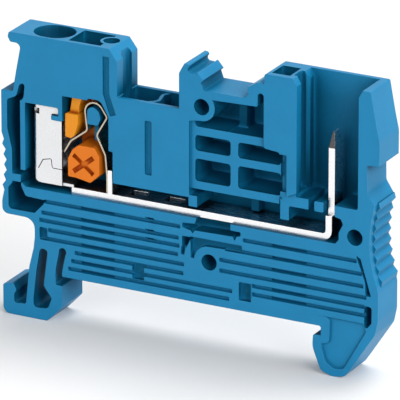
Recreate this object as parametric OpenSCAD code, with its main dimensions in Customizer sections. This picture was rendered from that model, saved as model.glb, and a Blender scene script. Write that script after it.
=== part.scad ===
// Feed-through terminal block for a 35 mm rail: spring clamp at one end, plug pin at the other.
// X runs along the block (clamp end at -X), Z is up from the rail, and the open side faces -Y.
// The origin is the middle of the rail seat. Depths are measured from the open side.

/* [Block] */
// Width of the block, which is its pitch on the rail
width = 5.2; // [4.9:0.1:8]
// Reach of the clamp end from the rail's middle
left_reach = 24.9; // [24.6:0.1:30]
// Reach of the plug end from the rail's middle
right_reach = 25.1; // [24.6:0.1:30]
// Height of the clamp end above the rail seat
left_top = 29.85; // [28:0.05:36]
// Height of the plug end above the rail seat
right_top = 30.1; // [29:0.05:36]
// Thickness of the closed wall on the far side
back_wall = 0.6; // [0.4:0.05:0.8]
// Thickness of the skin in front of the entry and the shafts
front_skin = 0.6; // [0.4:0.05:0.8]

/* [Rail foot] */
// Width of the rail over its flanges
rail_w = 35; // [33:0.1:36]
// Thickness of the rail's flange
rail_t = 1; // [0.8:0.05:1.5]
// Room beside and under each flange
rail_gap = 0.2; // [0.1:0.05:0.3]
// How far each claw reaches in under its flange
claw_bite = 0.8; // [0.5:0.05:1.2]
// Depth of the feet below the rail seat
foot_drop = 6.1; // [5.6:0.1:9]

/* [Finger grips] */
// Distance between the grip teeth
tooth_pitch = 1.3; // [1:0.05:1.4]
// Height of the grip teeth
tooth_h = 0.35; // [0.2:0.05:0.6]
// Number of grip teeth at the clamp end
left_teeth = 5; // [1:1:5]
// Number of grip teeth at the plug end
right_teeth = 8; // [1:1:8]
// Plain rim in front of the teeth at the plug end
tooth_rim = 1; // [0.5:0.1:3]
// Radius of the hollow that the teeth follow
grip_r = 15; // [13:0.5:40]

/* [Conductor entry] */
// Distance of the entry from the clamp end
entry_inset = 5.95; // [5.6:0.05:6.4]
// Diameter of the entry bore
entry_d = 3.4; // [2:0.1:3.6]
// Length of the funnel's mouth along the block
mouth_l = 5.2; // [4.6:0.1:5.8]
// Width of the funnel's mouth across the block
mouth_w = 4.5; // [3.8:0.1:4.6]
// Depth of the funnel
mouth_depth = 3; // [1:0.1:5]
// Distance of the test hole from the entry
test_gap = 7.5; // [7.3:0.05:7.6]
// Diameter of the test hole
test_d = 2; // [1:0.1:2.2]
// Depth of the test hole
test_depth = 5; // [2:0.1:6]

/* [Clamp] */
// Thickness of the cage sheet
sheet_t = 0.35; // [0.25:0.05:0.5]
// Width of the cage across the block
cage_w = 4; // [3.6:0.05:4.2]
// Height of the cage
cage_h = 9.75; // [9:0.05:10.4]
// Outer radius of the cage's folds
cage_fold_r = 0.8; // [0.5:0.05:1.2]
// Thickness of the spring strip
spring_t = 0.2; // [0.15:0.01:0.3]
// Width of the spring strip
spring_w = 3.1; // [2:0.05:3.3]
// Travel of the release button
button_travel = 0.9; // [0.3:0.05:1.2]
// Room between the button and what guides it
button_gap = 0.12; // [0.08:0.01:0.2]

/* [Current bar] */
// Thickness of the current bar
bar_t = 0.8; // [0.5:0.05:1]
// Width of the current bar
bar_w = 3.6; // [2.5:0.05:4.2]
// Height of the bar's top above the rail seat
bar_top = 11.45; // [11.2:0.05:11.8]
// Distance of the plug pin from the plug end
pin_inset = 6.7; // [6.4:0.05:7.2]
// Width of the plug pin across the block
pin_w = 2.2; // [1.6:0.1:3]
// Height of the plug pin's tip above the rail seat
pin_top = 23.8; // [20:0.1:28]
// Length of the punched bridge holes
slot_l = 2.4; // [1.4:0.1:3]
// Width of the punched bridge holes
slot_w = 1.5; // [1:0.1:2]

/* [Bridge, marker and pegs] */
// Distance of the bridge shafts from the rail's middle
bridge_offset = 5.15; // [5:0.05:5.4]
// Distance between the two bridge shafts
bridge_pitch = 4.8; // [4.4:0.1:4.8]
// Length of the trough above the bridge shafts
trough_l = 8.25; // [8:0.05:8.4]
// Height of the rim of the bridge shafts
bridge_rim = 23.95; // [22.8:0.05:26]
// Height of the marker's platform
marker_z = 26.7; // [26.2:0.05:26.9]
// Diameter of the locating pegs on the closed side
peg_d = 1.8; // [1.2:0.05:2]
// Room around a peg in its hole
peg_gap = 0.1; // [0.05:0.01:0.15]
// Length of the locating pegs
peg_l = 1.2; // [0.4:0.1:3]
// Depth of the peg holes
peg_hole_depth = 3.2; // [1.5:0.1:4]

/* [Hidden] */
$fn = 48;
// Overrun of a cut past the face that it opens, and of one that opens upwards
cut = 0.05;
overrun = 1;
// Largest turn of one step along a rounded corner, in degrees
arc_step = 18;
// Ends of the block, and the end of its lower body above the springy foot
left_x = -left_reach;
right_x = right_reach;
body_inset = 4.4;
body_x = left_x + body_inset;
// Depth at which the closed wall starts
inner = width - back_wall;
// Depth of the block's middle
middle = width / 2;
// Places of the rail's slots and of the claws
claw_z = -rail_t - rail_gap;
slot_x = rail_w / 2 + rail_gap;
claw_x = slot_x - claw_bite;
// Underside of the current bar, and its front edge
bar_z = bar_top - bar_t;
bar_front = (inner - bar_w) / 2;
// Middles of the bridge shafts, and ends of the trough above them
bridge_x = [-bridge_offset - bridge_pitch / 2, -bridge_offset + bridge_pitch / 2];
trough_x = [-bridge_offset - trough_l / 2, -bridge_offset + trough_l / 2];
// Axes that the clamp and the plug pin are built round
clamp_x = left_x + entry_inset;
pin_x = right_x - pin_inset;
// Centres of the peg holes, and of the pegs behind them
peg_at = [[1.95, marker_z - 2.05], [2.95, 5.35], [right_x - 3.05, bar_top + 0.4]];
peg_hole_d = peg_d + 2 * peg_gap;
peg_boss_r = peg_hole_d / 2 + 0.75;
peg_ring_r = peg_hole_d / 2 + 1;

// Unit vector along a vector
function unit(v) = v / norm(v);
// A point's place and its corner radius
function at(p) = [p[0], p[1]];
function radius(p) = len(p) > 2 ? p[2] : 0;
// A vector turned by an angle
function turned(v, a) = [v[0] * cos(a) - v[1] * sin(a), v[0] * sin(a) + v[1] * cos(a)];

// Points along an arc, from one angle to another
function arc(centre, r, from, to) =
    let (steps = ceil(abs(to - from) / arc_step))
    [for (i = [0:steps]) centre + turned([r, 0], from + (to - from) * i / steps)];

// Arc of radius r that rounds the corner b between a and c, held to the edges beside it
function fillet(a, b, c, r) =
    let (to_a = unit(a - b), to_c = unit(c - b))
    let (half = acos(max(-1, min(1, to_a * to_c))) / 2)
    r <= 0 || half > 89.5 ? [b] :
    let (reach = min(r / tan(half), 0.48 * norm(a - b), 0.48 * norm(c - b)))
    let (centre = b + unit(to_a + to_c) * reach / cos(half))
    let (start = b + to_a * reach - centre)
    let (sweep = 180 - 2 * half)
    let (side = cross(start, b + to_c * reach - centre) > 0 ? 1 : -1)
    let (steps = max(1, ceil(sweep / arc_step)))
    [for (i = [0:steps]) centre + turned(start, side * sweep * i / steps)];

// Closed outline with each corner rounded by its own radius
function rounded(pts) =
    let (n = len(pts))
    [for (i = [0:n - 1])
        each fillet(at(pts[(i + n - 1) % n]), at(pts[i]), at(pts[(i + 1) % n]), radius(pts[i]))];

// Open path with its inner corners rounded
function rounded_path(pts) =
    let (n = len(pts))
    [at(pts[0]),
        for (i = [1:n - 2]) each fillet(at(pts[i - 1]), at(pts[i]), at(pts[i + 1]), radius(pts[i])),
        at(pts[n - 1])];

// Offset of point i of a path, to its left, so that a strip keeps its thickness
function mitre(path, i) =
    let (n = len(path))
    let (before = unit(path[max(i, 1)] - path[max(i, 1) - 1]))
    let (after = unit(path[min(i, n - 2) + 1] - path[min(i, n - 2)]))
    let (side = unit(turned(before, 90) + turned(after, 90)))
    side / (side * turned(before, 90));

// Outline of a strip of thickness t along a path
function strip(path, t) =
    let (n = len(path))
    [for (i = [0:n - 1]) path[i] + mitre(path, i) * t / 2,
        for (i = [n - 1:-1:0]) path[i] - mitre(path, i) * t / 2];

// Rectangle between two corners, with rounded corners
function rect(x0, z0, x1, z1, r = 0) = [[x0, z0, r], [x1, z0, r], [x1, z1, r], [x0, z1, r]];

// Flat shape of an outline, and of a strip
module shape(pts) {
    polygon(rounded(pts));
}
module band(pts, t) {
    polygon(strip(rounded_path(pts), t));
}

// Frames of the flat shapes at the clamp and at the plug pin: their axis, and the bar's top
module by_clamp() {
    translate([clamp_x, bar_top])
        children();
}
module by_pin() {
    translate([pin_x, bar_top])
        children();
}

// Stands a flat shape up in X and Z, between two depths from the open side
module slab(from, to) {
    translate([0, to - middle, 0])
        rotate([90, 0, 0])
            linear_extrude(height = to - from)
                children();
}

// Lays a flat shape of X and depth down, between two heights
module layer(from, to) {
    translate([0, -middle, from])
        linear_extrude(height = to - from)
            children();
}

// Box between two corners given as X, depth and Z
module box(low, high) {
    translate([low[0], low[1] - middle, low[2]])
        cube(high - low);
}

// Round bar along the depth, between two depths
module peg(place, d, from, to) {
    translate([place[0], to - middle, place[1]])
        rotate([90, 0, 0])
            cylinder(d = d, h = to - from);
}

// Finger grips: X and height of the deepest point of the hollow, and the side that it faces
left_grip = [left_x + 0.65, 13, -1];
right_grip = [right_x - 1.2, 11.6, 1];
// Height of the first tooth's tip, and how far a tooth's root lies in the wall
tooth_top = 15.6;
tooth_root = 0.2;

// Point of a grip's hollow at a height
function grip_point(g, z) =
    [g[0] + g[2] * (grip_r - sqrt(pow(grip_r, 2) - pow(z - g[1], 2))), z];

// Teeth along a grip, from a depth to the far side
module grip_teeth(g, count, from) {
    half = 0.48 * tooth_pitch;
    root = [-tooth_root * g[2], 0];
    for (i = [0:count - 1]) {
        z = tooth_top - i * tooth_pitch;
        high = grip_point(g, z + half);
        low = grip_point(g, z - half);
        tip = grip_point(g, z) + [tooth_h * g[2], 0];
        slab(from, width)
            polygon([high + root, high, tip, low, low + root]);
    }
}

// Outline of the clamp end, from its lip down to the springy foot
function left_side() = [
    [left_x + 1.1, left_top, 0.15], [left_x + 0.98, left_top - 0.6, 0.2],
    [left_x + 1.3, left_top - 1.2, 0.25], [left_x + 2.75, left_top - 1.25, 0.8],
    [left_x + 2, left_top - 5.1, 2], [left_x + 1.6, 22.5, 0.2], [left_x, 22.45, 0.15],
    [left_x, 17.1, 0.5], for (z = [16.2:-0.7:9.2]) grip_point(left_grip, z),
    [left_x, 8.4, 0.4], [left_x, 6.8, 1.4], [body_x, 6.75, 1.3],
    [-slot_x - 2.8, 3.7, 6], [-slot_x - 3.6, 0.5, 3], [-slot_x - 4.1, -4.4, 0.35],
    [-slot_x - 5.7, -4.5, 0.35], [-slot_x - 5.7, -3.3, 0.3], [-slot_x - 5.35, -2.9, 0.3],
    [-slot_x - 5.85, -1.95, 0.25], [-slot_x - 7.2, -2.3, 0.3],
    [-slot_x - 7.2, -foot_drop + 0.1, 0.9], [-slot_x - 1.2, -foot_drop + 0.05, 0.6],
    [-claw_x, -3.95, 0.4], [-claw_x, claw_z, 0.15], [-slot_x, claw_z, 0.1], [-slot_x, 0, 0]
];

// Outline of the plug end, from the fixed hook up to the end wall
function right_side() = [
    [slot_x, 0, 0.25], [slot_x, claw_z, 0.1], [claw_x - 0.2, claw_z, 0.25],
    [claw_x - 0.3, -2.7, 2], [claw_x + 0.8, -foot_drop + 0.5, 1], [claw_x + 2.4, -foot_drop, 1.2],
    [claw_x + 4, -foot_drop + 0.25, 1.2],
    [right_x - 0.35, 0.1, 1.5], [right_x, 1.9, 1], [right_x, 5.3, 0.8],
    for (z = [6.2:0.75:15.9]) grip_point(right_grip, z),
    [right_x - 0.6, 16.2, 0.2], [right_x - 1.55, 17.7, 0.6], [right_x - 1.6, 21.05, 0.2],
    [right_x, 21.1, 0.1], [right_x, right_top - 6, 2], [right_x - 0.45, right_top - 4, 2],
    [right_x - 1.2, right_top, 0.2]
];

// Outline of the top, from the tower over the marker's catches back to the clamp end
function top_side() = [
    [10.2, right_top, 0.2], [10.15, marker_z + 2.1, 0.15], [9.2, marker_z + 2.15, 0.1],
    [7.9, marker_z + 1.35, 0.1], [8.15, marker_z + 0.6, 0.2], [7.55, marker_z, 0.15],
    [2.2, marker_z, 0.1], [1.85, marker_z + 0.95, 0.1], [2.2, marker_z + 1.25, 0.1],
    [1.4, marker_z + 2.15, 0.1], [1, marker_z + 1.8, 0.1], [-0.25, marker_z + 3.1, 0.15],
    [trough_x[1], marker_z + 1.7, 0.4], [trough_x[1], bridge_rim, 0.1],
    [trough_x[0], bridge_rim, 0.1], [trough_x[0], left_top - 1.4, 0.3],
    [trough_x[0] - 1.07, left_top, 0.25]
];

// Slots that make the left foot springy: width of the inner one, and place and width of its round end
slot_t = 0.9;
slot_end = [0.95, 3.15];
slot_end_d = slot_t + 0.1;
module foot_slots() {
    translate([-slot_x, 0]) {
        shape([[-2.1, 3.2, 0.45], [-2.6, 0.4, 3], [-3.05, -3.4, 1], [-3.05, -4.65, 0.6],
            [-1.1, -4.45, 0.6], [-0.55, -3.05, 0.5], [-1.65, -1.6, 0.6], [-1.05, 3, 0.45]]);
        band([[0.4, -0.3], [0.45, 0.8, 2], slot_end], slot_t);
        translate(slot_end)
            circle(d = slot_end_d);
    }
}

// Cavity between the outer arm and the clamp, down to the ledge below the bar
module arm_cavity() {
    translate([left_x, 0])
        shape([[2.85, 23.65, 0.3], [2.45, 23.4, 0.2], [2.04, 21.95, 0.5], [0.8, 21.35, 0.4],
            [0.78, 17.7, 1.5], [1.4, 15.1, 1.5], [1.4, 10.9, 0.3], [0.85, 10.2, 0.3], [0.85, 7.5, 0.5],
            [4.4, 7.5, 0.2], [5.6, 8.8, 0.2], [5.8, bar_z - 1.3, 0.1], [3.2, bar_z - 1.2, 0.4],
            [2.6, bar_z, 0.2], [2.6, 21.2, 0.4], [3.05, 22, 0.4], [3.2, 23.5, 0.3]]);
}

// Room above the cage, and the shaft that guides the button's head
cage_room = 0.12;
shaft_x = [2.9, 7.15];
shaft_z = 11.05;
// Room over the spring's loop
spring_top = 11.8;

// Cavity of the clamp, with room for the cage, the spring and the button
module clamp_cavity() {
    shelf = cage_h + cage_room;
    by_clamp()
        shape([[-2.7, shelf, 0.1], [-3.45, 1.25, 0.1], [-3.45, -0.25, 0.2], [-2.75, -bar_t, 0.3],
            [9.05, -bar_t], [9.05, 5.6, 0.1], [8.5, 5.6, 0.1], [8.5, 9.85, 0.4], [7.45, 11.75, 0.9],
            [5.75, 11.75, 0.5], [5.65, 11.5, 0.1], [2, 11.5, 0.1], [2, shelf, 0.1]]);
}

// Channel of the current bar, under the bridge shafts and the window
module bar_channel() {
    shape(rect(clamp_x + 8.95, bar_z, pin_x - 1.4, bar_top + 1.65));
    by_pin()
        shape([[-6.4, -bar_t], [1.1, -bar_t, 0.3], [1.55, -0.25, 0.4], [1.55, 0.65, 0.3],
            [2.1, 1.75, 0.3], [1.8, 2.35, 0.2], [1, 2.55, 0.1], [1, 4.55], [plug_x[0], 4.55], [-6.4, 3.35]]);
}

// Cavity that takes the plug, open at the top: its sides measured from the pin
plug_x = [-4, 4];
module plug_cavity() {
    brim = right_top - bar_top;
    lead = [0.5, 0.9];
    by_pin()
        shape([[plug_x[0], 3.95, 0.1], [plug_x[1], 3.85, 0.3], [plug_x[1], brim - lead[1]],
            [plug_x[1] + lead[0], brim], [plug_x[1] + lead[0], brim + overrun],
            [plug_x[0] - lead[0], brim + overrun], [plug_x[0] - lead[0], brim], [plug_x[0], brim - lead[1]]]);
}

// Window between the centre block and the tower: X of its sides and of the upright, the frame beside
// the centre block, and the heights of its bars
window_x = [0.3, 5.6, 6.6, 12.2];
window_frame = 0.65;
window_bars = [[20.95, 22], [18, 19], [14.2, 15.2]];
window_top = marker_z + 0.9;
// Depth of the bars behind the open side, and of the upper stretch of the upright
window_sink = 0.35;
upright_sink = 2.6;

module window_opening() {
    shape(concat(
        [[window_x[0], bar_top + 1.55, 0.1], [window_x[3], bar_top + 1.55, 0.1], [window_x[3], 20.7, 0.3],
            [10.1, 20.9, 0.3], [10.1, window_top, 0.4], [9.3, window_top, 0.4], [9.3, marker_z - 0.8, 0.2]],
        arc(peg_at[0], peg_boss_r, 38, -98),
        [[window_x[0], 22.7, 0.2]]));
}
module window_pockets() {
    tops = [window_top, window_bars[0][0], window_bars[1][0]];
    for (i = [0:2]) {
        shape(rect(window_x[0] + window_frame, window_bars[i][1], window_x[1], tops[i], 0.4));
        shape(rect(window_x[2], window_bars[i][1], window_x[3], tops[i], 0.4));
    }
    shape(rect(window_x[0], bar_top + 0.55, window_x[3], window_bars[2][0], 0.1));
}
module window() {
    slab(-cut, window_sink)
        window_opening();
    slab(window_sink - cut, inner)
        intersection() {
            window_opening();
            window_pockets();
        }
    slab(window_sink - cut, upright_sink)
        shape(rect(window_x[1] - 0.2, window_bars[0][1], window_x[2] + 0.2, marker_z - 1));
}

// Shafts for plug-in bridges, down to the current bar
trough_wall = 0.3;
trough_floor = bridge_rim - 2.2;
module bridge_shafts() {
    shaft_l = slot_l + 0.8;
    for (x = bridge_x)
        box([x - shaft_l / 2, front_skin, bar_top + 0.55], [x + shaft_l / 2, inner, bridge_rim + overrun]);
    box([trough_x[0] + trough_wall, front_skin, trough_floor],
        [trough_x[1] - trough_wall, inner, bridge_rim + overrun]);
}

// Curved rib that parts the two bridge shafts
module bridge_divider() {
    layer(trough_floor - cut, bridge_rim - 0.15)
        translate([-bridge_offset, 0])
            band([[-0.7, front_skin - cut], [0.55, 1.7, 0.8], [-0.05, 3.9, 0.8], [0.5, inner + cut]], 0.4);
}

// Funnel and bore of the conductor entry
module entry() {
    spread = (mouth_l - mouth_w) / 2;
    shelf = bar_top + cage_h;
    translate([clamp_x, 0, shelf])
        cylinder(d = entry_d, h = left_top - shelf - mouth_depth + cut);
    hull() {
        for (side = [-1, 1])
            translate([clamp_x + side * spread, 0, left_top])
                cylinder(d = mouth_w, h = cut, $fn = 32);
        translate([clamp_x, 0, left_top - mouth_depth])
            cylinder(d = entry_d, h = cut, $fn = 32);
    }
}

// Test hole: its place, and the wall between it and the button's shaft
test_at = [clamp_x + test_gap, 0.2];
test_wall = 0.35;

// Shaft of the release button, the test hole and the recess beside it
module clamp_end_shafts() {
    difference() {
        box([clamp_x + shaft_x[0], front_skin, bar_top + shaft_z],
            [clamp_x + shaft_x[1], inner, left_top + overrun]);
        translate([test_at[0], test_at[1], 0])
            cylinder(d = test_d + 2 * test_wall, h = left_top + overrun);
    }
    translate([test_at[0], test_at[1], left_top - test_depth])
        cylinder(d = test_d, h = test_depth + cut);
    layer(trough_floor, left_top - 0.3)
        translate([trough_x[0], 0])
            shape([[-0.5, 1.5, 0.5], [1, 1.5], [1, 3.75], [-0.5, 3.75, 0.3]]);
}

// Shallow grooves in the front skin
module skin_grooves() {
    by_clamp()
        band([[8.2, left_top - bar_top - 1.05], [8.2, 12.75, 0.8], [9.1, 10.15]], 0.85);
    shape(rect(-bridge_offset - 0.45, bar_top + 3.5, -bridge_offset + 0.45, bridge_rim - 2.25, 0.1));
}

// Grooves between the ribs of the lower body: start, end and height of each
grooves = [
    [body_x + 1.3, -0.9, 9.2], [body_x + 0.9, -1.1, 7.75], [body_x + 0.6, -1, 6.75],
    [body_x + 1.8, -1.2, 5.65], [body_x + 0.7, -0.4, 4.5], [-15.1, -0.5, 3.35], [-15.6, 6, 2.25],
    [-16, 5.6, 1.2],
    [7.4, right_x - 2.8, 8.95], [5, right_x - 2.1, 7.45], [4.3, right_x - 1.9, 5.95],
    [4.3, right_x - 1.5, 4.6], [8.6, right_x - 1.7, 3.4], [8.6, right_x - 1.7, 2.35]
];
groove_h = 0.5;
// Depths of the grooves, deeper between these places
groove_depths = [0.55, 0.95];
groove_steps = [[-14.45, -10], [11, 15.5]];

module groove_lines() {
    for (g = grooves)
        shape(rect(g[0], g[2] - groove_h / 2, g[1], g[2] + groove_h / 2, 0.08));
}
module lower_grooves() {
    slab(-cut, groove_depths[0])
        groove_lines();
    slab(0, groove_depths[1])
        intersection() {
            groove_lines();
            for (s = groove_steps)
                shape(rect(s[0], 0, s[1], bar_z));
        }
}

// Shallow pockets in the lower body
module lower_pockets() {
    shape(rect(body_x + 0.65, 4.4, body_x + 1.7, 5.85, 0.2));
    shape(rect(-7.3, 1.5, -5.75, 3.4, 0.1));
    shape(rect(6.9, 1.3, 8.5, 3.6, 0.1));
    shape(concat(
        [[0.5, 5.55, 0.15], [0.95, 5.5, 0.15]],
        arc(peg_at[1], peg_ring_r, 165, 103),
        [[7.3, 7.42], [7.3, 8.2, 0.1], [0.35, 8.2, 0.1], [0.5, 7.3, 0.1]]));
    shape([[-0.75, 6.8, 0.1], [-0.85, 5.75, 0.1], [-0.35, 5.75, 0.1], [-0.15, 6.8, 0.1]]);
}
// Deeper holes beside them
module lower_holes() {
    for (z = [9.4, 7.9, 6.85])
        shape(rect(-5.55, z - 0.22, -4.4, z + 0.22));
    shape([[-0.65, 8.1, 0.1], [0.42, 8.1, 0.15], [0.4, 7.7, 0.1], [-0.05, 6.7, 0.15], [-0.62, 6.65, 0.1]]);
    shape([[-0.6, 9.75, 0.1], [-0.62, 9.2, 0.1], [0.5, 8.95], [0.75, 8.6, 0.05], [1.05, 9.05],
        [6.05, 9.15], [6.3, 8.65, 0.05], [6.6, 9.25], [7.1, 9.35, 0.1], [7.1, 9.85, 0.1], [5.75, 9.9, 0.1],
        [5.75, bar_z + cut], [1.3, bar_z + cut], [1.05, 9.9, 0.1]]);
    translate([right_x, 0]) {
        shape([[-2.95, 9.7, 0.1], [-2.3, 9.3, 0.1], [-1.6, 7.1], [-0.9, 4.8, 0.1], [-1.6, 4.8, 0.1],
            [-1.7, 6.5, 0.3]]);
        shape([[-1.75, 3.55, 0.2], [-0.8, 3.5, 0.3], [-0.8, 1.5, 0.3], [-1.3, 0.85, 0.2],
            [-1.75, 0.75, 0.1]]);
    }
}

// Shallow panel in the fixed hook
module hook_panel() {
    shape([[slot_x - 1.3, 1.3], [slot_x + 1.2, 1.25, 0.6], [slot_x + 1.15, -1.9, 0.6],
        [slot_x + 0.05, -2.2, 0.1], [slot_x + 0.6, -4.3, 1], [slot_x + 1.7, -foot_drop + 1.05, 0.8],
        [slot_x + 3, -foot_drop + 1.2, 0.6], [right_x - 1.5, 0.3, 0.2], [right_x - 1.9, 1.3, 0.2]]);
}

// Depth at which the rests start
rest_front = 0.3;

// Ribs and rests that stand up from the closed wall inside the cavities
module inner_ribs() {
    reach = inner + cut;
    shelf = cage_h + cage_room;
    slab(0, reach) {
        shape(rect(left_x + 2.55, bar_top + 1.25, left_x + 3.2, bar_top + shelf + 0.2, 0.1));
        shape(rect(left_x + 1, bar_top - 0.35, left_x + 2.55, bar_top + 0.6, 0.1));
        by_clamp()
            shape(rect(1.75, notch_low + notch_gap, 2.3, 11.65, 0.1));
        shape(rect(0.22, bar_top + 0.55, 1.35, bar_top + 1.95, 0.1));
    }
    slab(rest_front, reach) {
        by_pin() {
            shape([[-6.25, 3.85], [-6.25, 0.9, 0.1], [-5.1, 0.9, 0.1], [-5.1, 2.7, 0.2], [-2.55, 2.7, 0.1],
                [-2.55, 3.97, 0.1], [plug_x[0] - 0.2, 3.97], [plug_x[0] - 0.2, 4.35], [-6.25, 4.35]]);
            shape(rect(-1.8, 2.65, -bar_t / 2 - 0.2, 3.9, 0.15));
        }
        by_clamp()
            spring_post();
    }
    slab(2, web_front - button_gap)
        by_clamp()
            shape(rect(5.6, 5.85, 6.15, 9.2, 0.1));
    slab(3, reach)
        shape(rect(7, bar_top + 0.2, 8, window_bars[2][0] + cut));
    slab(0, cage_front + sheet_t)
        by_clamp()
            shape(rect(cage_x[1] - notch_l + notch_gap, notch_low + notch_gap,
                1.9, notch_high - notch_gap, 0.15));
}

// Post that the spring's loop hangs on
module spring_post() {
    shape([[5.5, 8.42, 0.15], [6.9, 8.42, 0.3], [7.3, 9.3, 0.5], [7.05, 10.2, 0.6], [6.25, 10.75, 0.6],
        [5.5, 10.3, 0.6]]);
}

// Tower: wall beside the groove in its front and the slot in its top, and their sizes
tower_wall = 0.8;
tower_x = 13.1;
tower_groove = [0.9, 5.5];
tower_groove_z = 15;
tower_slot = [2.35, 2.9, 8.1];
// Groove in its side that guides the plug: depths of its sides, and the web between it and the slot
guide_y = [1.15, 3.1];
tower_web = 0.3;
module tower_cuts() {
    slab(-cut, tower_wall)
        translate([tower_x, tower_groove_z])
            shape(rect(-tower_groove[0], 0, 0, tower_groove[1], 0.1));
    box([tower_x - tower_slot[0], tower_wall, right_top - tower_slot[2]],
        [tower_x, tower_wall + tower_slot[1], right_top + overrun]);
    side = pin_x + plug_x[0];
    layer(bar_top + 3.97, right_top + overrun)
        shape([[tower_x + tower_web, guide_y[0], 0.3], [side + overrun, guide_y[0]],
            [side + overrun, guide_y[1] + 0.5], [side, guide_y[1] + 0.5, 0.3],
            [side - 0.3, guide_y[1], 0.3], [tower_x + tower_web, guide_y[1], 0.3]]);
}

module housing() {
    color("#2b82b2")
        union() {
            difference() {
                union() {
                    slab(0, width)
                        shape(concat(left_side(), right_side(), top_side()));
                    grip_teeth(left_grip, left_teeth, 0);
                    grip_teeth(right_grip, right_teeth, tooth_rim);
                    for (p = peg_at)
                        peg(p, peg_d, inner, width + peg_l);
                }
                slab(-cut, width + cut)
                    foot_slots();
                slab(-cut, inner) {
                    arm_cavity();
                    clamp_cavity();
                    bar_channel();
                    plug_cavity();
                }
                window();
                slab(-cut, 0.4)
                    skin_grooves();
                lower_grooves();
                slab(-cut, 0.75)
                    lower_pockets();
                slab(-cut, 2)
                    lower_holes();
                slab(-cut, 0.25)
                    hook_panel();
                bridge_shafts();
                entry();
                clamp_end_shafts();
                tower_cuts();
                for (p = peg_at)
                    peg(p, peg_hole_d, -cut, peg_hole_depth);
            }
            inner_ribs();
            bridge_divider();
        }
}

// Cage: its sides measured from the entry, its front edge, and the round of its lower corner
cage_x = [-1.95, 2.05];
cage_front = (inner - cage_w) / 2;
cage_corner_r = 1.2;

// Side view of the cage, with its notch for the housing's tongue: its length, height, distance from
// the top, the end of the sheet above it, and the room round the tongue
notch_l = 1.35;
notch_h = 0.78;
notch_inset = 0.82;
notch_high = cage_h - notch_inset;
notch_low = notch_high - notch_h;
notch_end = 1.65;
notch_gap = 0.1;
module cage_face() {
    notch_x = cage_x[1] - notch_l;
    shape([[cage_x[0], 0, cage_corner_r], [cage_x[1], 0], [cage_x[1], notch_low, 0.1],
        [notch_x, notch_low, 0.15], [notch_x, notch_high, 0.15], [notch_end, notch_high, 0.1],
        [notch_end, cage_h, 0.3], [cage_x[0], cage_h]]);
}

// Seam where the two ends of the folded sheet meet, cut as a dovetail, and the notch in the fold
seam_w = 0.1;
module cage_seam() {
    band([[-1.15, 1.75], [-0.5, 2.95, 0.15], [0.6, 3.2, 0.15], [0.75, 2.05, 0.15], [cage_x[1] + 0.1, 2.05]],
        seam_w);
    shape(rect(cage_x[0] - cut, cage_h - 1.1, cage_x[0] + 0.5, cage_h - 0.4));
}

// Wall of the cage seen from above: a sheet folded round the conductor, open towards the spring
module cage_wall() {
    front = cage_front + sheet_t / 2;
    back = cage_front + cage_w - sheet_t / 2;
    left = cage_x[0] + sheet_t / 2;
    fold_r = cage_fold_r - sheet_t / 2;
    band([[cage_x[1], front], [left, front, fold_r], [left, back, fold_r], [cage_x[1], back]], sheet_t);
}

module clamp_cage() {
    floor_z = bar_top;
    color("#e9e9eb")
        union() {
            difference() {
                intersection() {
                    layer(floor_z, floor_z + cage_h)
                        translate([clamp_x, 0])
                            cage_wall();
                    slab(cage_front - cut, cage_front + cage_w + cut)
                        by_clamp()
                            cage_face();
                }
                slab(cage_front - cut, cage_front + sheet_t + cut)
                    by_clamp()
                        cage_seam();
            }
            box([clamp_x + cage_x[0] + cage_corner_r, cage_front + sheet_t / 2, floor_z],
                [clamp_x + bar_start + 0.3, cage_front + cage_w - sheet_t / 2, floor_z + sheet_t]);
        }
}

// Path of the spring: clamping leg, loop over its post, and the leg held by the bar's lug
spring_foot = 7.95;
loop_at = [6.25, 9.85];
loop_r = 1.22;
spring_path = concat(
    [[2.15, 4.2], [3.1, 5.8, 1.2], [5.3, 7.45, 0.55]],
    arc(loop_at, loop_r, 185, 35),
    [[7.98, 9.5, 0.3], [6.55, 7.05, 0.7], [7.72, 4.7, 0.8], [spring_foot, 2.05, 2], [spring_foot, 0]]);
spring_front = 0.65;

module clamp_spring() {
    color("#c9bda6")
        slab(spring_front, spring_front + spring_w)
            by_clamp()
                band(spring_path, spring_t);
}

// Depths of the button: its face, and its web behind the spring
button_front = 0.35;
web_front = spring_front + spring_w + button_gap;
web_back = inner - button_gap;
// Underside of the boss, clear of the bar at full travel
boss_bottom = button_travel + button_gap;

// Boss below the spring, with a crossed recess in its face: length and width of an arm, and its depth
cross_arm = [3.4, 0.6];
cross_depth = 0.45;
module button_boss() {
    shape([[2.85, 3.65, 0.2], [3.45, 4.85, 0.3], [4.25, 5.5, 0.2], [6.35, 5.5, 0.2], [7.05, 4.45, 0.2],
        [7.05, 2.15, 0.3], [5.85, boss_bottom, 0.2], [3.85, boss_bottom + sheet_t, 0.2],
        [2.85, boss_bottom + sheet_t, 0.2]]);
}
module boss_cross() {
    translate([4.9, 3.15])
        for (a = [-38, 38])
            rotate(a)
                square(cross_arm, center = true);
}

// Pusher that bears on the clamping leg, the stem above it, and the web behind the spring
module button_pusher() {
    shape([[2.5, 9.3, 0.2], [4.2, 9.3, 0.1], [4.2, 8.1, 0.6], [3.65, 6.55, 0.2], [3.3, 6.25, 0.2],
        [2.5, 6.3, 0.25]]);
}
module button_stem() {
    shape([[2.8, 9.05], [4.05, 9.05], [4.1, 10.3], [4.55, 11.45], [4.85, 13.55], [3.25, 13.55], [3.1, 10.9]]);
}
module button_web() {
    shape([[2.85, boss_bottom + 0.5, 0.2], [7.05, 2.15, 0.2], [7.05, 5.05, 0.4], [6.95, 6.15, 0.2],
        [5.2, 8.1, 0.3], [5.15, 10.55], [5, 13.55], [3.25, 13.55], [2.55, 9.35], [2.55, 6.75, 0.3],
        [2.85, 5.55]]);
}

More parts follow.
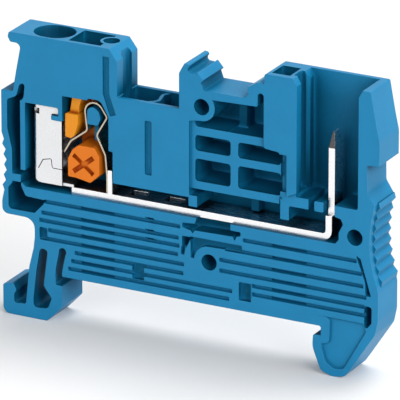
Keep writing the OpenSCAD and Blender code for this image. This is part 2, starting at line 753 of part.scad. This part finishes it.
// Head that is pressed, with a slot for a screwdriver in its top
head_h = 1.75;
head_slot_depth = 0.5;
module button_head() {
    low = bar_top + spring_top + button_travel + button_gap;
    left = clamp_x + shaft_x[0] + button_gap;
    right = test_at[0] - test_d / 2 - test_wall - button_gap;
    slot_inset = 0.7;
    difference() {
        box([left, front_skin + button_gap, low], [right, web_back, low + head_h]);
        box([left + slot_inset, middle - 0.6, low + head_h - head_slot_depth],
            [right - slot_inset, middle + 0.4, low + head_h + overrun]);
    }
}

module release_button() {
    color("#e8862a")
        difference() {
            union() {
                slab(button_front, web_back)
                    by_clamp() {
                        button_pusher();
                        button_boss();
                    }
                slab(button_front + 0.6, web_back)
                    by_clamp()
                        button_stem();
                slab(web_front, web_back)
                    by_clamp()
                        button_web();
                button_head();
            }
            slab(0, button_front + cross_depth)
                by_clamp()
                    boss_cross();
        }
}

// Current bar: its start measured from the entry, and the foot of its upright
bar_start = 3.25;
pin_foot = bar_top + 2.25;

// Side view of the bar: flat run, bend and upright
module bar_profile() {
    run = bar_top - bar_t / 2;
    band([[clamp_x + bar_start, run], [pin_x, run, bar_t], [pin_x, pin_foot]], bar_t);
}
// Lug that holds the spring's leg
module spring_lug() {
    low = spring_foot + spring_t / 2 + 0.05;
    shape(rect(low, -bar_t / 2, low + 0.6, 2.95, 0.1));
}
// Outline of the plug pin at a width, with a tip that tapers on both sides
tip_l = 1.9;
tip_side = 0.5;
tip_edge = 0.28;
module pin_outline(w, taper) {
    root = pin_foot - 0.5;
    tip = w / 2 - taper;
    polygon([[-w / 2, root], [w / 2, root], [w / 2, pin_top - tip_l], [tip, pin_top], [-tip, pin_top],
        [-w / 2, pin_top - tip_l]]);
}
// Plug pin, tapered across the block and along it
module plug_pin(depth) {
    intersection() {
        translate([pin_x - bar_t / 2, depth - middle, 0])
            rotate([90, 0, 90])
                linear_extrude(height = bar_t)
                    pin_outline(pin_w, tip_side);
        slab(depth - pin_w / 2, depth + pin_w / 2)
            translate([pin_x, 0])
                pin_outline(bar_t, tip_edge);
    }
}

module current_bar() {
    pin_depth = bar_front + bar_w / 2;
    color("#e9e9eb")
        difference() {
            union() {
                slab(bar_front, bar_front + bar_w)
                    bar_profile();
                slab(bar_front, pin_depth)
                    by_clamp()
                        spring_lug();
                plug_pin(pin_depth);
            }
            layer(bar_z - cut, bar_top + cut)
                for (x = bridge_x)
                    translate([x, pin_depth])
                        shape(rect(-slot_l / 2, -slot_w / 2, slot_l / 2, slot_w / 2, 0.4));
        }
}

housing();
clamp_cage();
clamp_spring();
release_button();
current_bar();
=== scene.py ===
"""Dresses the terminal block: its materials, its finer pieces, the camera, the floor and the light."""
import math

import bmesh
import bpy
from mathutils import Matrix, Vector


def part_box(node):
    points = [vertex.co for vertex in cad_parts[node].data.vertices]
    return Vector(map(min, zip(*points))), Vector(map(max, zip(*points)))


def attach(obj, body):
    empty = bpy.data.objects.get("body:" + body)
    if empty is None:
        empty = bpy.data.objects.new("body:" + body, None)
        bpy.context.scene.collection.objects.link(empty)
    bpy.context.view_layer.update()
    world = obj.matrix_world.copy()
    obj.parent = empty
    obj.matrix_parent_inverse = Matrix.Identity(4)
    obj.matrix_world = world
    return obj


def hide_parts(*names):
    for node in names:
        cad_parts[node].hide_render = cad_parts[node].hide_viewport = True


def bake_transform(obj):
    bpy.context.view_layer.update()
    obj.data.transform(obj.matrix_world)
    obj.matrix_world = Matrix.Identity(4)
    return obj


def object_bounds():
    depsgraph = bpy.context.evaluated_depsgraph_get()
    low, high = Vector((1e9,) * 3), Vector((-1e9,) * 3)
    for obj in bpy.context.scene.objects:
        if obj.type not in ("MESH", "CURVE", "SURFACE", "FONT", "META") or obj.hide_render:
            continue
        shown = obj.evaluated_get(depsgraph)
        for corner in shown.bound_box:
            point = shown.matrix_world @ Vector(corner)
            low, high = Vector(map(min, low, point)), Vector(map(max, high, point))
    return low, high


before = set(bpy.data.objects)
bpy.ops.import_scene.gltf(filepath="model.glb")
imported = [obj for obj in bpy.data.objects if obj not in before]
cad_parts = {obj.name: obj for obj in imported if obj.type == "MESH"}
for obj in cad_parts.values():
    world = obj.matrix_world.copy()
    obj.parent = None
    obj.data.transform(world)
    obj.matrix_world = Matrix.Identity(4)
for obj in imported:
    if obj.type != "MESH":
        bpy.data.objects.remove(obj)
cad_low, cad_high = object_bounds()

MM = 0.001
AXIS_X, AXIS_Y, AXIS_Z = range(3)
WHITE = (1, 1, 1, 1)

# Camera: the photograph's viewing angle, the point at the middle of its frame, the field's width, lens and
# sensor in millimetres, and how far it sees, as a multiple of its distance
VIEW_AZIMUTH = math.radians(27.5)
VIEW_ELEVATION = math.radians(20.6)
VIEW_TARGET = Vector((1.75, -2.6, 13.01)) * MM
FIELD_WIDTH = 47.03 * MM
LENS = 600.0
SENSOR = 36.0
CLIP_MULTIPLE = 4

# Relief window in the cage's front sheet: reach to the right from the cage's left side, depth from its
# front, and the heights of its lower and upper edge from the cage's top
WINDOW_REACH = 1.0 * MM
WINDOW_DEPTH = 0.6 * MM
WINDOW_EDGES = (-1.1 * MM, -0.4 * MM)
# Distance within which the cage's corners are joined, and the turn beyond which its edges are sharp
JOIN_DISTANCE = 0.0001 * MM
SHARP_ANGLE = math.radians(30)
# Height of the button's boss, and of the blend above it to the thin upper walls, whose lighter colour is
# painted light standing in for light let through them
BOSS_HEIGHT = 4.6 * MM
WALL_BLEND = 1.0 * MM
# Length of the plug pin's tapered tip, and half the height of the step in its colour
TIP_LENGTH = 1.9 * MM
TIP_STEP = 0.03 * MM
# Marker tower: half the width of its lip, about the block's middle, the height that its slope stays within,
# the least area of the slope's faces, how far they look to the right at least, and the distance within
# which points count as one corner
LIP_REACH = 1.0 * MM
SLOPE_HEIGHT = 2.0 * MM
SLOPE_AREA = 1.0 * MM * MM
SLOPE_TURN = 0.5
CORNER_SIZE = 0.001 * MM
# Bead on the lip: radius, centre from the slope's top, and its turns in degrees from start to end
BEAD_RADIUS = 0.26 * MM
BEAD_CENTRE = Vector((0.12, 0, -0.26)) * MM
BEAD_TURNS = range(90, -75, -15)
# Valley behind the lip: its corners, from the slope's top
VALLEY = [Vector(corner) * MM for corner in ((0.2, 0, -0.56), (0.23, 0, -0.85), (0.42, 0, -1.05))]

# Samples of the rounded edges and of the room over a surface
SHADER_SAMPLES = 8
# Plastic: size and shades of the flow clouds, size of the grain, swing of the roughness, depth and strength
# of the relief, radius of the edges, gloss where open and where deep in a recess, and how much of the
# painted shade colour a recess has where its gloss is lowest
FLOW_SIZE = 4 * MM
FLOW_SHADES = (0.96, 1.04)
GRAIN_SIZE = 0.12 * MM
GRAIN_SWING = 0.05
GRAIN_DEPTH = 0.006 * MM
GRAIN_STRENGTH = 0.35
PLASTIC_EDGE = 0.15 * MM
GLOSS = (0.25, 0.03)
GLOSS_END = 0.6
# Painted shade in the plastic's recesses: room from closed to open in shafts, cells and grooves, the share
# of the painted shade colour that closed cells and grooves keep, and the reach of a groove as a share of
# the whole reach
SHAFT_ROOM = (0.5, 0.92)
CELL_ROOM = (0.3, 0.5)
CELL_SHARE = 0.55
GROOVE_ROOM = (0.45, 0.85)
GROOVE_SHARE = 0.25
GROOVE_REACH = 0.1
# Metal: size and stretch of the rolling lines, size and shades of the clouds, swing of the roughness, depth
# and strength of the relief, radius of the edges, and room from closed to open for the painted shade in
# recesses
LINE_SIZE = 0.06 * MM
LINE_STRETCH = 0.04
SHEEN_SIZE = 2 * MM
SHEEN_SHADES = (0.96, 1.0)
LINE_SWING = 0.06
LINE_DEPTH = 0.002 * MM
LINE_STRENGTH = 0.07
METAL_EDGE = 0.05 * MM
METAL_ROOM = (0.35, 0.8)
# Plug pin: how squarely a face looks to the front to stay free of the painted shade, or to take the dark
# tip colour, and how dark the tip is against the painted shade colour
FRONT_TURN = (0.7, 0.9)
TIP_TURN = (0.6, 0.7)
TIP_SHADE = 0.6

# Light: level of the even surroundings, distance and size of the lamps, and their sides and watts
AMBIENT = 0.16
LAMP_DISTANCE = 1.5
LAMP_SIZE = 1.0
LAMPS = {
    "top_lamp": ((0.2, 0.35, 1), 20),
    "right_lamp": ((1, -0.5, 0.55), 17.7),
    "front_lamp": ((-0.15, -1, 0.35), 8.4),
}
# Floor: half its side, and its paper's colour, roughness and glow
FLOOR_HALF = 0.5
PAPER = (0.74, 0.74, 0.74, 1.0)
PAPER_ROUGHNESS = 0.9
PAPER_GLOW = 0.12


def srgb(code):
    """Linear colour of a #rrggbb code."""
    values = [int(code[i:i + 2], 16) / 255 for i in (1, 3, 5)]
    linear = [v / 12.92 if v <= 0.04045 else ((v + 0.055) / 1.055) ** 2.4 for v in values]
    return (*linear, 1.0)


def new_material(name):
    """A material with an empty tree, and its tree, shader and object coordinates."""
    material = bpy.data.materials.new(name)
    material.use_nodes = True
    tree = material.node_tree
    tree.nodes.clear()
    output = tree.nodes.new("ShaderNodeOutputMaterial")
    shader = tree.nodes.new("ShaderNodeBsdfPrincipled")
    coords = tree.nodes.new("ShaderNodeTexCoord")
    tree.links.new(shader.outputs["BSDF"], output.inputs["Surface"])
    return material, tree, shader, coords.outputs["Object"]


def noise(tree, coords, size, detail=3.0, stretch=(1, 1, 1)):
    """Noise whose features are about `size` metres across, stretched along the axes."""
    mapping = tree.nodes.new("ShaderNodeMapping")
    mapping.inputs["Scale"].default_value = [s / size for s in stretch]
    texture = tree.nodes.new("ShaderNodeTexNoise")
    texture.inputs["Scale"].default_value = 1.0
    texture.inputs["Detail"].default_value = detail
    tree.links.new(coords, mapping.inputs["Vector"])
    tree.links.new(mapping.outputs["Vector"], texture.inputs["Vector"])
    return texture.outputs["Fac"]


def ramp(tree, factor, low, high, start=0.3, end=0.7):
    """Colour between low and high by a factor."""
    node = tree.nodes.new("ShaderNodeValToRGB")
    node.color_ramp.elements[0].position = start
    node.color_ramp.elements[0].color = low
    node.color_ramp.elements[1].position = end
    node.color_ramp.elements[1].color = high
    tree.links.new(factor, node.inputs["Fac"])
    return node.outputs["Color"]


def spread(tree, factor, low, high, start=0.3, end=0.7):
    """A number between low and high by a factor."""
    node = tree.nodes.new("ShaderNodeMapRange")
    node.inputs["From Min"].default_value = start
    node.inputs["From Max"].default_value = end
    node.inputs["To Min"].default_value = low
    node.inputs["To Max"].default_value = high
    tree.links.new(factor, node.inputs["Value"])
    return node.outputs["Result"]


def relief(tree, height, shader, distance, strength, edge):
    """Fine relief by a height, over edges that look rounded to a radius."""
    corner = tree.nodes.new("ShaderNodeBevel")
    corner.samples = SHADER_SAMPLES
    corner.inputs["Radius"].default_value = edge
    node = tree.nodes.new("ShaderNodeBump")
    node.inputs["Distance"].default_value = distance
    node.inputs["Strength"].default_value = strength
    tree.links.new(height, node.inputs["Height"])
    tree.links.new(corner.outputs["Normal"], node.inputs["Normal"])
    tree.links.new(node.outputs["Normal"], shader.inputs["Normal"])


def tint(colour, factor):
    """A colour made darker or lighter by a factor."""
    return (*[min(1.0, c * factor) for c in colour[:3]], 1.0)


def mixed(tree, factor, colour, other):
    """A colour that turns to another, fixed one by a factor."""
    mix = tree.nodes.new("ShaderNodeMixRGB")
    mix.inputs["Color2"].default_value = other
    tree.links.new(factor, mix.inputs["Fac"])
    tree.links.new(colour, mix.inputs["Color1"])
    return mix.outputs["Color"]


def room_around(tree, distance, alone=False):
    """Share of open space over a surface, within a distance, with the pieces beside it or alone."""
    node = tree.nodes.new("ShaderNodeAmbientOcclusion")
    node.samples = SHADER_SAMPLES
    node.only_local = alone
    node.inputs["Distance"].default_value = distance
    return node.outputs["AO"]


def axis_value(tree, vector, axis):
    """One axis of a vector."""
    axes = tree.nodes.new("ShaderNodeSeparateXYZ")
    tree.links.new(vector, axes.inputs["Vector"])
    return axes.outputs[axis]


def math_node(tree, operation, first, second=None):
    """Result of an operation on one or two values."""
    node = tree.nodes.new("ShaderNodeMath")
    node.operation = operation
    tree.links.new(first, node.inputs[0])
    if second is not None:
        tree.links.new(second, node.inputs[1])
    return node.outputs[0]


def painted_hollow_shade(tree, distance):
    """Painted shade: how much a colour darkens in recesses, most in open shafts, less in cells and grooves
    that get little light.
    """
    room = room_around(tree, distance, alone=True)
    near_room = room_around(tree, GROOVE_REACH * distance, alone=True)
    shaft = spread(tree, room, 1, 0, *SHAFT_ROOM)
    cell = spread(tree, room, CELL_SHARE, 1, *CELL_ROOM)
    groove = spread(tree, near_room, GROOVE_SHARE, 1, *GROOVE_ROOM)
    return math_node(tree, "MULTIPLY", math_node(tree, "MULTIPLY", shaft, cell), groove)


def moulded_plastic(name, colour, painted_shade_colour, reach, roughness, painted_light_walls=None):
    """Moulded plastic: faint flow clouds in the colour, painted shade in recesses, and a fine eroded grain.

    Thin upper walls have painted light: a lighter colour between two heights and above, for light let
    through them.
    """
    material, tree, shader, coords = new_material(name)
    clouds = noise(tree, coords, FLOW_SIZE)
    fine = noise(tree, coords, GRAIN_SIZE, detail=2.0)
    surface = ramp(tree, clouds, *[tint(colour, shade) for shade in FLOW_SHADES])
    # Painted light: thin upper walls turn to a lighter colour standing in for light let through them
    if painted_light_walls:
        painted_light_colour, low, high = painted_light_walls
        raised = spread(tree, axis_value(tree, coords, "Z"), 0, 1, low, high)
        surface = mixed(tree, raised, surface, painted_light_colour)
    # Painted shade: the colour turns towards the deep colour in recesses, where shade falls
    painted_shade_share = painted_hollow_shade(tree, reach)
    gloss = spread(tree, painted_shade_share, *GLOSS, 0, GLOSS_END)
    rough = spread(tree, fine, roughness - GRAIN_SWING, roughness + GRAIN_SWING)
    tree.links.new(mixed(tree, painted_shade_share, surface, painted_shade_colour), shader.inputs["Base Color"])
    tree.links.new(gloss, shader.inputs["Specular IOR Level"])
    tree.links.new(rough, shader.inputs["Roughness"])
    relief(tree, fine, shader, GRAIN_DEPTH, GRAIN_STRENGTH, PLASTIC_EDGE)
    return material


def across(tree, start, end, low=0, high=1):
    """High on faces that look to the front or back, low on those along the block."""
    normal = tree.nodes.new("ShaderNodeNewGeometry").outputs["True Normal"]
    facing = math_node(tree, "ABSOLUTE", axis_value(tree, normal, "Y"))
    return spread(tree, facing, low, high, start, end)


def rolled_metal(name, colour, painted_shade_colour, reach, roughness, along, tip=None):
    """Sheet metal with fine rolling lines along one axis, and painted shade darkening it in recesses.

    A bar with a plug pin keeps its front free of the painted shade, and the pin's tip above a height turns
    dark on faces that look to the front or back.
    """
    material, tree, shader, coords = new_material(name)
    stretch = [LINE_STRETCH if axis == along else 1.0 for axis in range(3)]
    lines = noise(tree, coords, LINE_SIZE, detail=2.0, stretch=stretch)
    clouds = noise(tree, coords, SHEEN_SIZE)
    surface = ramp(tree, clouds, *[tint(colour, shade) for shade in SHEEN_SHADES])
    # Painted shade: the colour turns towards the deep colour in recesses, where shade falls
    painted_shade_share = spread(tree, room_around(tree, reach), 1, 0, *METAL_ROOM)
    if tip is not None:
        painted_shade_share = math_node(tree, "MULTIPLY", painted_shade_share, across(tree, *FRONT_TURN, low=1, high=0))
        raised = spread(tree, axis_value(tree, coords, "Z"), 0, 1, tip - TIP_STEP, tip + TIP_STEP)
        dark_tip = math_node(tree, "MULTIPLY", raised, across(tree, *TIP_TURN))
        surface = mixed(tree, dark_tip, mixed(tree, painted_shade_share, surface, painted_shade_colour), tint(painted_shade_colour, TIP_SHADE))
    else:
        surface = mixed(tree, painted_shade_share, surface, painted_shade_colour)
    rough = spread(tree, lines, roughness - LINE_SWING, roughness + LINE_SWING)
    tree.links.new(surface, shader.inputs["Base Color"])
    tree.links.new(rough, shader.inputs["Roughness"])
    relief(tree, lines, shader, LINE_DEPTH, LINE_STRENGTH, METAL_EDGE)
    shader.inputs["Metallic"].default_value = 1.0
    return material


def dress(node, material):
    """Gives a CAD node its material."""
    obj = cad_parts[node]
    obj.data.materials.clear()
    obj.data.materials.append(material)


def add_object(name, data):
    """An object in the scene."""
    thing = bpy.data.objects.new(name, data)
    bpy.context.scene.collection.objects.link(thing)
    return thing


def bend_spring():
    """Strip in the spring's place, copied from the spring, while the CAD spring is hidden."""
    piece = add_object("spring_strip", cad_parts["clamp_spring"].data.copy())
    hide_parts("clamp_spring")
    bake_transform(piece)


def box_mesh(name, low, high):
    """Mesh of a box between two corners."""
    bm = bmesh.new()
    bmesh.ops.create_cube(bm, size=1)
    for vert in bm.verts:
        vert.co = [a + (b - a) * (c + 0.5) for a, b, c in zip(low, high, vert.co)]
    mesh = bpy.data.meshes.new(name)
    bm.to_mesh(mesh)
    bm.free()
    return mesh


def joined_mesh(name, source):
    """Mesh with a source's corners and faces, joined along its edges."""
    mesh = bpy.data.meshes.new(name)
    mesh.from_pydata([v.co for v in source.vertices], [], [list(p.vertices) for p in source.polygons])
    bm = bmesh.new()
    bm.from_mesh(mesh)
    bmesh.ops.remove_doubles(bm, verts=bm.verts, dist=JOIN_DISTANCE)
    bm.to_mesh(mesh)
    bm.free()
    return mesh


def cut_window(material):
    """Cage whose relief window, at the upper left, goes through its front sheet."""
    low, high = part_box("clamp_cage")
    start = (low[0] - WINDOW_DEPTH, low[1] - WINDOW_DEPTH, high[2] + WINDOW_EDGES[0])
    end = (low[0] + WINDOW_REACH, low[1] + WINDOW_DEPTH, high[2] + WINDOW_EDGES[1])
    cutter = add_object("window_cutter", box_mesh("window_cutter", start, end))
    piece = add_object("cage_sheet", joined_mesh("cage_sheet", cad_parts["clamp_cage"].data))
    window = piece.modifiers.new("window", "BOOLEAN")
    window.object = cutter
    window.solver = "EXACT"
    shape = piece.evaluated_get(bpy.context.evaluated_depsgraph_get())
    piece.data = bpy.data.meshes.new_from_object(shape)
    piece.modifiers.clear()
    bpy.data.objects.remove(cutter)
    piece.data.materials.clear()
    piece.data.materials.append(material)
    piece.data.shade_smooth()
    piece.data.set_sharp_from_angle(angle=SHARP_ANGLE)
    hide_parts("clamp_cage")
    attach(piece, "block")


def at(point, corner):
    """Whether a point lies on the line along Y through a corner."""
    return math.hypot(point.x - corner.x, point.z - corner.z) < CORNER_SIZE


def meets(place, corner):
    """Whether one of a face's points lies on the line along Y through a corner."""
    return any(at(point, corner) for point in place)


def turned(place, normal):
    """Whether a triangle looks away from a direction, or to its side."""
    a, b, c = place
    return (b - a).cross(c - a).dot(normal) <= 0


def lip_profile(top, foot):
    """Corners from the slope's top to its foot, by way of the lip's bead and the valley behind it."""
    turns = [math.radians(turn) for turn in BEAD_TURNS]
    bead = [BEAD_CENTRE + BEAD_RADIUS * Vector((math.cos(t), 0, math.sin(t))) for t in turns]
    return [top] + [top + corner for corner in bead + VALLEY] + [foot]


def tower_slope(faces, shape):
    """Faces of the slope behind the tower's lip: large ones near the crest that look to the right."""
    near = [face for face in faces if all(abs(c.x) < LIP_REACH for c in shape[face.index])]
    crest = max((c.z for face in near for c in shape[face.index]), default=0.0)
    high = [face for face in near if all(c.z > crest - SLOPE_HEIGHT for c in shape[face.index])]
    return [face.index for face in high if face.normal.x > SLOPE_TURN and face.area > SLOPE_AREA]


def wall_fan(place, profile):
    """Triangles of a wall beside the slope, from the profile to the wall triangle's third corner."""
    top, foot = profile[0], profile[-1]
    fan = []
    for painted_light_walls, lower in zip(profile, profile[1:]):
        moved = [painted_light_walls if at(c, top) else lower if at(c, foot) else c for c in place]
        fan.append([Vector((m.x, c.y, m.z)) for m, c in zip(moved, place)])
    return fan


def profile_faces(profile, front, back):
    """Faces along the profile from front to back, each with the direction that it looks in."""
    faces = []
    for painted_light_walls, lower in zip(profile, profile[1:]):
        along = (lower - painted_light_walls).normalized()
        place = [(painted_light_walls, back), (painted_light_walls, front), (lower, front), (lower, back)]
        faces.append(([Vector((c.x, y, c.z)) for c, y in place], Vector((-along.z, 0, along.x))))
    return faces


def carve_marker(material):
    """Housing whose marker tower has a beaded lip and a valley in place of one slope.

    Where the faces there aren't one plain slope between two walls, the CAD housing stays.
    """
    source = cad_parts["housing"].data
    points = [v.co.copy() for v in source.vertices]
    shape = {face.index: [points[i] for i in face.vertices] for face in source.polygons}
    slope = tower_slope(source.polygons, shape)
    corners = [c for index in slope for c in shape[index]]
    if not corners:
        return
    top = max(corners, key=lambda c: c.z)
    foot = min(corners, key=lambda c: c.z)
    profile = lip_profile(top, foot)
    walls = [face for face in source.polygons if face.index not in slope
             and meets(shape[face.index], top) and meets(shape[face.index], foot)]
    added = [(place, face.normal) for face in walls for place in wall_fan(shape[face.index], profile)]
    if len(walls) != 2 or any(turned(place, normal) for place, normal in added):
        return
    added += profile_faces(profile, min(c.y for c in corners), max(c.y for c in corners))
    replaced = set(slope) | {face.index for face in walls}
    kept = [face for face in source.polygons if face.index not in replaced]
    faces = [list(face.vertices) for face in kept]
    normals = [source.corner_normals[i].vector for face in kept for i in face.loop_indices]
    for place, normal in added:
        faces.append(range(len(points), len(points) + len(place)))
        points.extend(place)
        normals.extend([normal] * len(place))
    mesh = bpy.data.meshes.new("housing_moulding")
    mesh.from_pydata(points, [], faces)
    mesh.materials.append(material)
    mesh.shade_smooth()
    mesh.normals_split_custom_set(normals)
    piece = add_object("housing_moulding", mesh)
    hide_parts("housing")
    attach(piece, "block")


def seen(tree):
    """One where the camera, a reflection or a clear piece looks, nought where light only bounces."""
    path = tree.nodes.new("ShaderNodeLightPath")
    rays = path.outputs["Is Camera Ray"]
    for name in ("Is Glossy Ray", "Is Transmission Ray"):
        rays = math_node(tree, "MAXIMUM", rays, path.outputs[name])
    return rays


def make_floor():
    """White paper that the feet stand on, with a glow where it is seen that leaves the shadow."""
    sides = ((-1, -1), (1, -1), (1, 1), (-1, 1))
    mesh = bpy.data.meshes.new("floor")
    mesh.from_pydata([(x * FLOOR_HALF, y * FLOOR_HALF, cad_low[2]) for x, y in sides], [], [(0, 1, 2, 3)])
    material, tree, shader = new_material("floor_paper")[:3]
    shader.inputs["Base Color"].default_value = PAPER
    shader.inputs["Roughness"].default_value = PAPER_ROUGHNESS
    shader.inputs["Specular IOR Level"].default_value = 0.0
    shader.inputs["Emission Color"].default_value = WHITE
    glow = spread(tree, seen(tree), 0, PAPER_GLOW, 0, 1)
    tree.links.new(glow, shader.inputs["Emission Strength"])
    mesh.materials.append(material)
    add_object("floor", mesh)


def make_world():
    """Even surroundings: white where seen, dimmer as light."""
    world = bpy.data.worlds.new("studio")
    bpy.context.scene.world = world
    world.use_nodes = True
    tree = world.node_tree
    tree.nodes.clear()
    output = tree.nodes.new("ShaderNodeOutputWorld")
    background = tree.nodes.new("ShaderNodeBackground")
    background.inputs["Color"].default_value = WHITE
    tree.links.new(spread(tree, seen(tree), AMBIENT, 1, 0, 1), background.inputs["Strength"])
    tree.links.new(background.outputs["Background"], output.inputs["Surface"])


def face_from(thing, direction, distance):
    """Puts a lamp or camera at a distance from the view's middle in a direction, facing the middle."""
    thing.location = VIEW_TARGET + direction * distance
    thing.rotation_euler = (-direction).to_track_quat("-Z", "Y").to_euler()


def make_lamp(name, side, watts):
    """Soft square lamp on one side of the view's middle."""
    light = bpy.data.lights.new(name, "AREA")
    light.size = LAMP_SIZE
    light.energy = watts
    face_from(add_object(name, light), Vector(side).normalized(), LAMP_DISTANCE)


def make_camera():
    """Long lens from the photograph's viewing angle."""
    data = bpy.data.cameras.new("camera")
    data.lens = LENS
    data.sensor_width = SENSOR
    distance = FIELD_WIDTH * LENS / SENSOR
    data.clip_end = CLIP_MULTIPLE * distance
    flat = math.cos(VIEW_ELEVATION)
    right = math.sin(VIEW_AZIMUTH) * flat
    front = math.cos(VIEW_AZIMUTH) * flat
    camera = add_object("camera", data)
    face_from(camera, Vector((right, -front, math.sin(VIEW_ELEVATION))), distance)
    bpy.context.scene.camera = camera


boss_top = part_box("release_button")[0][2] + BOSS_HEIGHT
pin_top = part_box("current_bar")[1][2]

# The deep colours are painted shade for recesses, and the button's upper colour is painted light
housing_plastic = moulded_plastic(
    "housing_plastic", srgb("#0f7aa9"), painted_shade_colour=srgb("#03374f"), reach=8 * MM, roughness=0.45)
button_plastic = moulded_plastic(
    "button_plastic", srgb("#dc7413"), painted_shade_colour=srgb("#8c280a"), reach=0.6 * MM, roughness=0.42,
    painted_light_walls=(srgb("#e08d1a"), boss_top, boss_top + WALL_BLEND))
tinned_metal = rolled_metal(
    "tinned_metal", srgb("#f4f4f5"), painted_shade_colour=srgb("#4c4b4a"), reach=3 * MM, roughness=0.26, along=AXIS_X,
    tip=pin_top - TIP_LENGTH)
cage_metal = rolled_metal(
    "cage_metal", srgb("#e4e5e7"), painted_shade_colour=srgb("#3a3532"), reach=3 * MM, roughness=0.26, along=AXIS_Z)
spring_steel = rolled_metal(
    "spring_steel", srgb("#c4b9a5"), painted_shade_colour=srgb("#6d6558"), reach=1 * MM, roughness=0.28, along=AXIS_Y)

dress("housing", housing_plastic)
dress("release_button", button_plastic)
dress("clamp_cage", cage_metal)
dress("current_bar", tinned_metal)
dress("clamp_spring", spring_steel)

bend_spring()
cut_window(cage_metal)
carve_marker(housing_plastic)

make_floor()
make_world()
for lamp, (side, watts) in LAMPS.items():
    make_lamp(lamp, side, watts)
make_camera()
bpy.context.scene.view_settings.view_transform = "Standard"
